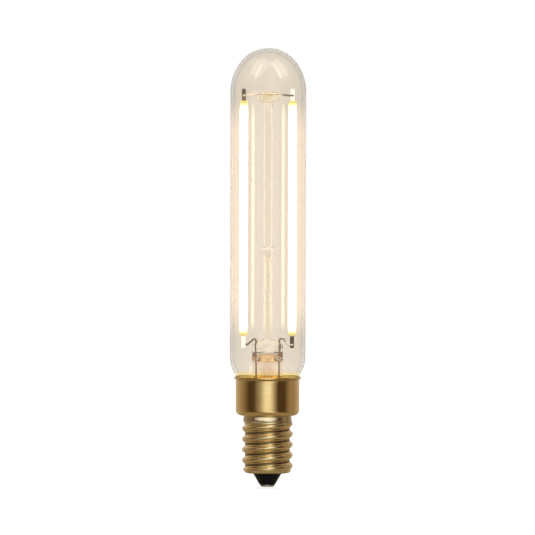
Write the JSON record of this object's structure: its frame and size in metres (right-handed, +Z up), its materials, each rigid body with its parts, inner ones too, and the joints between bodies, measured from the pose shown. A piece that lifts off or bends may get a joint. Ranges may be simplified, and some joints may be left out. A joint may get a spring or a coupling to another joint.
{
  "type": "tubular light bulb",
  "caption": "Clear tubular light bulb: lit filament strips on a glass stem in a domed glass tube, on a brass screw cap with a plain skirt and a black insulator.",
  "frame": {"origin": "centre of the flat under the centre contact, at the foot of the screw cap", "axes": "+Z up the lamp's axis to the dome; the filaments stand in the XZ plane, -Y is the front"},
  "size_m": [0.0202, 0.0202, 0.117],
  "materials": {
    "envelope_glass": "clear blown glass, smooth",
    "stem_glass": "clear worked glass with soft edges",
    "lead_wire": "drawn nickel wire, dull",
    "terminal_metal": "plated strip, dull",
    "seal_copper": "red copper cladding under glass",
    "outer_copper": "bare copper wire",
    "phosphor": "yellow phosphor in silicone, lit",
    "carrier_strip": "pale sintered strip",
    "filament_chip": "pale blue crystal",
    "cap_brass": "drawn and rolled brass, satin, light draw marks",
    "cap_black_glass": "black moulded glass, glossy",
    "contact_metal": "tinned rivet, worn satin",
    "cement": "baked cement, matt",
    "board": "green solder mask",
    "package_black": "moulded epoxy",
    "capacitor_can": "bare can",
    "resistor_coat": "dipped coating"
  },
  "bodies": {
    "root": {"glass_envelope": "envelope_glass", "stem_flare": "stem_glass", "exhaust_tube": "stem_glass", "support_tube": "stem_glass", "support_rod": "stem_glass", "bridge_wire": "lead_wire", "inner_lead_left": "lead_wire", "inner_lead_right": "lead_wire", "lower_terminal_left": "terminal_metal", "lower_terminal_right": "terminal_metal", "upper_terminal_left": "terminal_metal", "upper_terminal_right": "terminal_metal", "seal_wire_left": "seal_copper", "seal_wire_right": "seal_copper", "outer_lead_left": "outer_copper", "outer_lead_right": "outer_copper", "side_wire": "outer_copper", "filament_coating_left": "phosphor", "filament_coating_right": "phosphor", "filament_substrate_left": "carrier_strip", "filament_substrate_right": "carrier_strip", "filament_chips_left": "filament_chip", "filament_chips_right": "filament_chip", "screw_shell": "cap_brass", "cap_insulator": "cap_black_glass", "centre_contact": "contact_metal", "capping_cement": "cement", "driver_board": "board", "bridge_rectifier": "package_black", "current_regulator": "package_black", "smoothing_capacitor": "capacitor_can", "fuse_resistor": "resistor_coat"}
  },
  "joints": []
}
